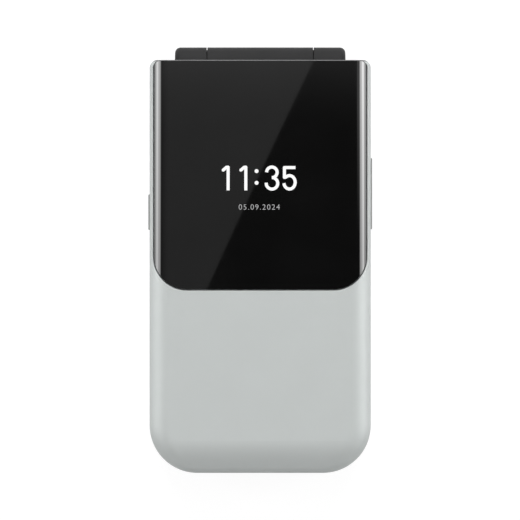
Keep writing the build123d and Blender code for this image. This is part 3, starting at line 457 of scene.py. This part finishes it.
def stroke(form, points, weight, square_ends=False):
    """Adds a flat stroke of even weight to a form: a slab along each run and a disc at each bend.

    Each slab and disc lies a hair above the last, so that no two faces fall in one plane.
    """
    lift = 0.0
    for first, second in zip(points, points[1:]):
        run = Vector(second) - Vector(first)
        turn = Matrix.Rotation(math.atan2(run.y, run.x), 4, "Z")
        middle = (Vector(first) + Vector(second)) / 2
        bmesh.ops.create_cube(form, size=1.0, matrix=Matrix.Translation((*middle, lift)) @ turn
                              @ Matrix.Diagonal((run.length, weight, ink_height, 1)))
        lift += stroke_lift
    for x, y in points[1:-1] if square_ends else points:
        bmesh.ops.create_cone(form, cap_ends=True, segments=24, radius1=weight / 2, radius2=weight / 2,
                              depth=ink_height, matrix=Matrix.Translation((x, y, lift)))
        lift += stroke_lift


def lettering(text, height, weight=0.0, spacing=1.0):
    """Plain figures, centred on the origin and lying on Z = 0."""
    curve = bpy.data.curves.new("lettering", "FONT")
    curve.body = text
    curve.align_x = "CENTER"
    curve.align_y = "CENTER"
    curve.size = height / 0.7
    curve.extrude = 0.005 * mm
    curve.offset = weight
    curve.space_character = spacing
    curve.resolution_u = 4
    return curve_to_mesh(curve)


clock_white = glow("clock_white", (1.0, 1.0, 1.0), 1.0)
date_grey = glow("date_grey", (0.48, 0.48, 0.485), 1.0)
legend_white = ink("legend_white", (0.78, 0.78, 0.77))
legend_green = ink("legend_green", (0.07, 0.55, 0.14))
legend_red = ink("legend_red", (0.68, 0.05, 0.04))

window_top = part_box("outer_window")[1].z

# ---------------------------------------------------------------- clock figures on the outer window

# Each stroke's points, and whether its ends are cut square.
figure_one = [([(0.0, 0.22), (0.0, 5.92)], True), ([(0.0, 5.92), (-0.42, 5.88), (-1.2, 5.2)], False)]
figure_three = [(arc((0.0, 4.65), 1.3, 1.3, 179, -90), True),
                (arc((0.03, 1.95), 1.42, 1.42, 90, -186), True)]
figure_five = [([(1.43, 5.82), (-1.27, 5.82), (-1.27, 3.4),
                 *arc((-0.02, 2.2), 1.4, 1.66, 130, -172)], True)]
clock_figures = [("clock_1_first", figure_one, -7.87), ("clock_1_second", figure_one, -3.53),
                 ("clock_3", figure_three, 2.86), ("clock_5", figure_five, 7.21)]
for name, strokes, left in clock_figures:
    joined = bmesh.new()
    for points, square in strokes:
        stroke(joined, [(x * mm, y * mm) for x, y in points], clock_weight, square)
    bmesh.ops.translate(joined, verts=joined.verts,
                        vec=(left * mm, clock_baseline, window_top + print_height))
    add_piece(name, joined, clock_white, "lid")
for name, height in (("clock_dot_upper", dot_top), ("clock_dot_lower", dot_bottom)):
    dot = bmesh.new()
    bmesh.ops.create_cone(dot, cap_ends=True, segments=32, radius1=dot_radius,
                          radius2=dot_radius - dot_bevel, depth=ink_height)
    bmesh.ops.translate(dot, verts=dot.verts, vec=(dot_x, height, window_top + print_height))
    add_piece(name, dot, clock_white, "lid")
date_line = lettering("05.09.2024", date_height, weight=-0.022 * mm, spacing=1.2)
date_line.transform(Matrix.Translation((date_x, date_y, window_top + print_height)))
add_piece("date_figures", date_line, date_grey, "lid")

# ---------------------------------------------------------------- key legends

def key_top(key):
    """The middle of a key's top face, just above it."""
    low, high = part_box(key)
    return Vector(((low.x + high.x) / 2, (low.y + high.y) / 2, high.z + print_height))


def stroked_mark(name, strokes, weight, place, finish, body):
    """A mark made of flat strokes, given in millimetres from its place."""
    form = bmesh.new()
    for points in strokes:
        stroke(form, [(x * mm, y * mm) for x, y in points], weight * mm)
    bmesh.ops.translate(form, verts=form.verts, vec=place)
    add_piece(name, form, finish, body)


for key in digit_keys:
    mark = key.split("_")[1]
    if mark == "star":
        tips = [(star_reach * math.cos(turn), star_reach * math.sin(turn))
                for turn in (math.radians(30), math.radians(90), math.radians(150))]
        spokes = [[(-x, -y), (x, y)] for x, y in tips]
        stroked_mark("legend_star", spokes, star_weight, key_top(key), legend_white, key)
        continue
    legend = lettering({"hash": "#"}.get(mark, mark), digit_height)
    legend.transform(Matrix.Translation(key_top(key)))
    add_piece("legend_" + mark, legend, legend_white, key)
handset = [arc((0.0, -1.1), 2.3, 2.0, 155, 25), [(-2.3, -0.95), (-1.6, -0.6)], [(2.3, -0.95), (1.6, -0.6)]]
for key, finish, side in (("call_key", legend_green, -1), ("end_key", legend_red, 1)):
    place = key_top(key) + Vector((side * menu_mark_out, 0.0, 0.0))
    stroked_mark("mark_" + key, handset, handset_weight, place, finish, key)
dash = [[(-1.6, 0.0), (1.6, 0.0)]]
for key, side in (("soft_key_left", -1), ("soft_key_right", 1)):
    place = key_top(key) + Vector((side * menu_mark_out, 0.0, 0.0))
    stroked_mark("mark_" + key, dash, dash_weight, place, legend_white, key)
ring_low, ring_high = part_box("scroll_ring")
ring_middle = Vector((0.0, (ring_low.y + ring_high.y) / 2, ring_high.z + print_height))
chevron = [(-0.8, 0.0), (0.0, 0.6), (0.8, 0.0)]
for name, angle in (("up", 0), ("left", 90), ("down", 180), ("right", 270)):
    turn = Matrix.Rotation(math.radians(angle), 2)
    points = [tuple(turn @ Vector((x, y + arrow_out))) for x, y in chevron]
    stroked_mark("ring_arrow_" + name, [points], arrow_weight, ring_middle, legend_white, "ring")


def turned_ring(name, profile, centre, finish, body):
    """A ring turned from a closed profile of (radius, height) points, in millimetres."""
    form = bmesh.new()
    corners = [form.verts.new((radius * mm, 0.0, height * mm)) for radius, height in profile]
    outline = form.faces.new(corners)
    bmesh.ops.spin(form, geom=[outline, *outline.edges, *outline.verts], axis=(0, 0, 1), cent=(0, 0, 0),
                   angle=math.tau, steps=96, use_merge=True)
    inside = [face for face in form.faces if abs(face.normal.y) > 0.999 and len(face.verts) == len(profile)]
    bmesh.ops.delete(form, geom=inside, context="FACES_ONLY")
    bmesh.ops.remove_doubles(form, verts=form.verts, dist=0.0001 * mm)
    bmesh.ops.recalc_face_normals(form, faces=form.faces)
    bmesh.ops.translate(form, verts=form.verts, vec=centre)
    return add_piece(name, form, finish, body)


select_rim = [(4.05, -0.02), (4.12, 0.03), (4.3, 0.045), (4.42, 0.0), (4.42, -0.2), (4.05, -0.2)]
scroll_rim = [(10.2, -0.05), (10.26, 0.03), (10.42, 0.03), (10.5, -0.02), (10.5, -0.2), (10.2, -0.2)]
washer_rim = [(3.1, 0.0), (4.3, 0.0), (4.35, 0.05), (4.35, 0.14), (4.3, 0.19), (3.1, 0.19)]
bezel_rim = [(4.7, 0.02), (4.75, -0.07), (5.1, -0.07), (5.15, 0.02)]
stop_rim = [(1.9, 0.02), (1.95, -0.04), (2.9, -0.06), (3.0, 0.02)]

select_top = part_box("select_key")[1].z
turned_ring("select_key_rim", select_rim, (0.0, ring_middle.y, select_top), bright_steel, "select_key")
turned_ring("scroll_ring_rim", scroll_rim, (0.0, ring_middle.y, ring_high.z), bright_steel, "ring")
for name, side in (("hinge_washer_left", -1), ("hinge_washer_right", 1)):
    washer = turned_ring(name, washer_rim, (0.0, 0.0, 0.0), rubber_black, "lid")
    turn = Matrix.Rotation(math.radians(side * 90), 4, "Y")
    washer.data.transform(Matrix.Translation((side * washer_x, hinge_y, hinge_z)) @ turn)
camera_low, camera_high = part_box("camera_window")
camera_middle = Vector((0.0, (camera_low.y + camera_high.y) / 2, camera_low.z))
turned_ring("camera_bezel", bezel_rim, camera_middle, bright_steel, "base")
turned_ring("camera_stop", stop_rim, camera_middle, dark_screw, "base")


# ---------------------------------------------------------------- floor, background and light

def stage_card(name, form, material):
    """A floor or a lit card, which isn't part of the phone."""
    card = add_piece(name, form, material, None)
    return card


def sheet(size_x, size_y, place, aim):
    """A rectangle whose front looks from its place towards a point."""
    form = bmesh.new()
    bmesh.ops.create_grid(form, x_segments=1, y_segments=1, size=0.5)
    turn = (Vector(aim) - Vector(place)).to_track_quat("Z", "Y").to_matrix().to_4x4()
    size = Matrix.Diagonal((size_x, size_y, 1, 1))
    bmesh.ops.transform(form, matrix=Matrix.Translation(place) @ turn @ size, verts=form.verts)
    return form


def lit_material(name):
    """A glowing material, its emission node, and the X, Y and Z of the room."""
    material = bpy.data.materials.new(name)
    material.use_nodes = True
    tree = material.node_tree
    tree.nodes.clear()
    output = tree.nodes.new("ShaderNodeOutputMaterial")
    emission = tree.nodes.new("ShaderNodeEmission")
    tree.links.new(emission.outputs[0], output.inputs["Surface"])
    return material, tree, emission, axes_of(tree, tree.nodes.new("ShaderNodeTexCoord").outputs["Object"])


def front_only(tree, strength):
    """No light from the back of a card."""
    geometry = tree.nodes.new("ShaderNodeNewGeometry")
    return maths(tree, "MULTIPLY", strength, maths(tree, "SUBTRACT", 1.0, geometry.outputs["Backfacing"]))


def softbox(name, along, height, place, glow_over):
    """A soft light that faces the phone, whose glow is worked out from the room's coordinates."""
    material, tree, emission, split = lit_material(name)
    tree.links.new(front_only(tree, glow_over(tree, split)), emission.inputs["Strength"])
    card = stage_card(name, sheet(along, height, place, (0.0, 0.0, aim_z)), material)
    card.visible_camera = False


def side_glow(strength, foot, stops):
    """A side light's glow: set by the angle from upright, as a share of ramp_span, and stronger headwards.

    Only the phone's near edge mirrors it at full strength; glossy surfaces further off show it no brighter
    than the room.
    """
    def glow_over(tree, split):
        path = tree.nodes.new("ShaderNodeLightPath").outputs
        away = maths(tree, "ABSOLUTE", split["X"])
        run = maths(tree, "POWER", maths(tree, "SUBTRACT", away, near_edge_x), 2.0)
        rise = maths(tree, "POWER", maths(tree, "SUBTRACT", split["Z"], near_edge_z), 2.0)
        near_edge = maths(tree, "SQRT", maths(tree, "ADD", run, rise))
        behind = maths(tree, "SUBTRACT", path["Ray Length"], near_edge)
        further = spread(tree, behind, 0.0, 1.0, dim_start, dim_end)
        abreast = spread(tree, maths(tree, "ABSOLUTE", split["Y"]), 1.0, 0.0, abreast_start, abreast_end)
        flat_mirrors = maths(tree, "MULTIPLY", maths(tree, "MULTIPLY", further, abreast),
                             path["Is Glossy Ray"])
        dimming = spread(tree, flat_mirrors, 1.0, glossy_share, 0.0, 1.0)
        angle = maths(tree, "ARCTAN2", away, maths(tree, "SUBTRACT", split["Z"], aim_z))
        level = ramp(tree, maths(tree, "DIVIDE", angle, ramp_span), stops)
        along = spread(tree, split["Y"], foot * strength, strength, 0.0, brightest_y)
        return maths(tree, "MULTIPLY", maths(tree, "MULTIPLY", along, level), dimming)
    return glow_over


def even_glow(strength, mirrored=1.0):
    """A light of one level, of which glossy surfaces show a fraction."""
    def glow_over(tree, split):
        glossy = tree.nodes.new("ShaderNodeLightPath").outputs["Is Glossy Ray"]
        return spread(tree, glossy, strength, strength * mirrored, 0.0, 1.0)
    return glow_over


left_stops = [(0.45, 0.0), (0.53, 0.5), (0.60, 0.55), (0.66, 0.72),
              (0.72, 1.0), (0.80, 0.58), (0.90, 0.3)]
right_stops = [(0.45, 0.0), (0.53, 0.46), (0.60, 0.5), (0.66, 0.68),
               (0.72, 1.0), (0.80, 0.42), (0.90, 0.36)]
softbox("left_softbox", side_card_long, side_card_tall, (-side_card_x, 0.0, side_card_z),
        side_glow(7.2, 0.74, left_stops))
softbox("right_softbox", side_card_long, side_card_tall, (side_card_x, 0.0, side_card_z),
        side_glow(9.9, 0.62, right_stops))
softbox("head_softbox", 1.0, 0.634, (0.0, 0.888, 0.35), even_glow(8.2, glossy_share))
softbox("foot_fill", 1.0, 0.19, (0.0, -0.987, 0.148), even_glow(2.4))


def overhead_card():
    """A dim card overhead, lighter on one side of a slanting edge, that the flat window mirrors."""
    material, tree, emission, split = lit_material("overhead_card")
    x, y = split["X"], split["Y"]
    slant = maths(tree, "MULTIPLY", y, maths(tree, "ADD", maths(tree, "MULTIPLY", y, edge_bend), edge_rate))
    beside = maths(tree, "SUBTRACT", x, slant)
    lighter_side = spread(tree, beside, 1.0, 0.0, -edge_offset, edge_blur - edge_offset)
    level = maths(tree, "MULTIPLY", spread(tree, y, 0.14, 0.167, -0.01, 0.05),
                  spread(tree, x, 0.35, 0.95, -0.8, -0.03))
    headward = maths(tree, "POWER", spread(tree, y, 0.0, 1.0, 0.045, 0.0731), 2.0)
    lit = maths(tree, "ADD", maths(tree, "MULTIPLY", lighter_side, level),
                maths(tree, "MULTIPLY", headward, headward_gain))
    edge_band = maths(tree, "MULTIPLY", spread(tree, x, 0.0, 0.39, 0.48, 0.62),
                      spread(tree, y, 0.0, 1.0, 0.01, 0.06))
    lit = maths(tree, "ADD", maths(tree, "ADD", lit, edge_band), darkest_level)
    tree.links.new(lit, emission.inputs["Strength"])
    card = stage_card("overhead_card", sheet(2.4, 0.5, (0.0, 0.0, 0.9), (0.0, 0.0, 0.0)), material)
    card.visible_camera = False


overhead_card()


def seen_directly(tree):
    """1 for what the camera, a mirror or clear glass shows of the surroundings."""
    path = tree.nodes.new("ShaderNodeLightPath")
    seen = maths(tree, "MAXIMUM", path.outputs["Is Camera Ray"], path.outputs["Is Glossy Ray"])
    return maths(tree, "MAXIMUM", seen, path.outputs["Is Transmission Ray"])


def white_room():
    """The room round the phone, dimmer as light than as it is seen."""
    world = bpy.data.worlds.new("white_room")
    world.use_nodes = True
    tree = world.node_tree
    background = tree.nodes["Background"]
    background.inputs["Color"].default_value = (1.0, 1.0, 1.0, 1.0)
    brightness = spread(tree, seen_directly(tree), room_light, room_seen, 0.0, 1.0)
    tree.links.new(brightness, background.inputs["Strength"])
    bpy.context.scene.world = world


def pale_floor():
    """A floor that shows white to the camera, keeps the phone's soft shadow and is clear from below.

    It is also clear to light that leaves the phone's underside, so that the back is lit from below.
    """
    material = bpy.data.materials.new("pale_floor")
    material.use_nodes = True
    tree = material.node_tree
    tree.nodes.clear()
    output = tree.nodes.new("ShaderNodeOutputMaterial")
    matt = tree.nodes.new("ShaderNodeBsdfDiffuse")
    matt.inputs["Color"].default_value = (floor_tone, floor_tone, floor_tone, 1.0)
    emission = tree.nodes.new("ShaderNodeEmission")
    brightness = spread(tree, seen_directly(tree), 0.0, floor_seen, 0.0, 1.0)
    tree.links.new(brightness, emission.inputs["Strength"])
    both = tree.nodes.new("ShaderNodeAddShader")
    tree.links.new(matt.outputs[0], both.inputs[0])
    tree.links.new(emission.outputs[0], both.inputs[1])
    path = tree.nodes.new("ShaderNodeLightPath")
    close = maths(tree, "LESS_THAN", path.outputs["Ray Length"], underside_gap)
    unseen = maths(tree, "MAXIMUM", path.outputs["Is Diffuse Ray"], path.outputs["Is Shadow Ray"])
    leaving = maths(tree, "MULTIPLY", close, unseen)
    clear = tree.nodes.new("ShaderNodeBsdfTransparent")
    seen_through = tree.nodes.new("ShaderNodeMixShader")
    backfacing = tree.nodes.new("ShaderNodeNewGeometry").outputs["Backfacing"]
    tree.links.new(maths(tree, "MAXIMUM", backfacing, leaving), seen_through.inputs["Fac"])
    tree.links.new(both.outputs[0], seen_through.inputs[1])
    tree.links.new(clear.outputs[0], seen_through.inputs[2])
    tree.links.new(seen_through.outputs[0], output.inputs["Surface"])
    stage_card("pale_floor", sheet(6.0, 6.0, (0.0, 0.0, -floor_drop), (0.0, 0.0, 1.0)), material)


white_room()
pale_floor()

camera = bpy.data.objects.new("camera", bpy.data.cameras.new("camera"))
bpy.context.scene.collection.objects.link(camera)
camera.data.lens = lens
camera.data.sensor_width = film_width
camera.data.clip_start = 0.05
camera.data.clip_end = 20
camera.location = (camera_x, 0.0, camera_height)
bpy.context.scene.camera = camera
bpy.context.scene.view_settings.view_transform = "Standard"
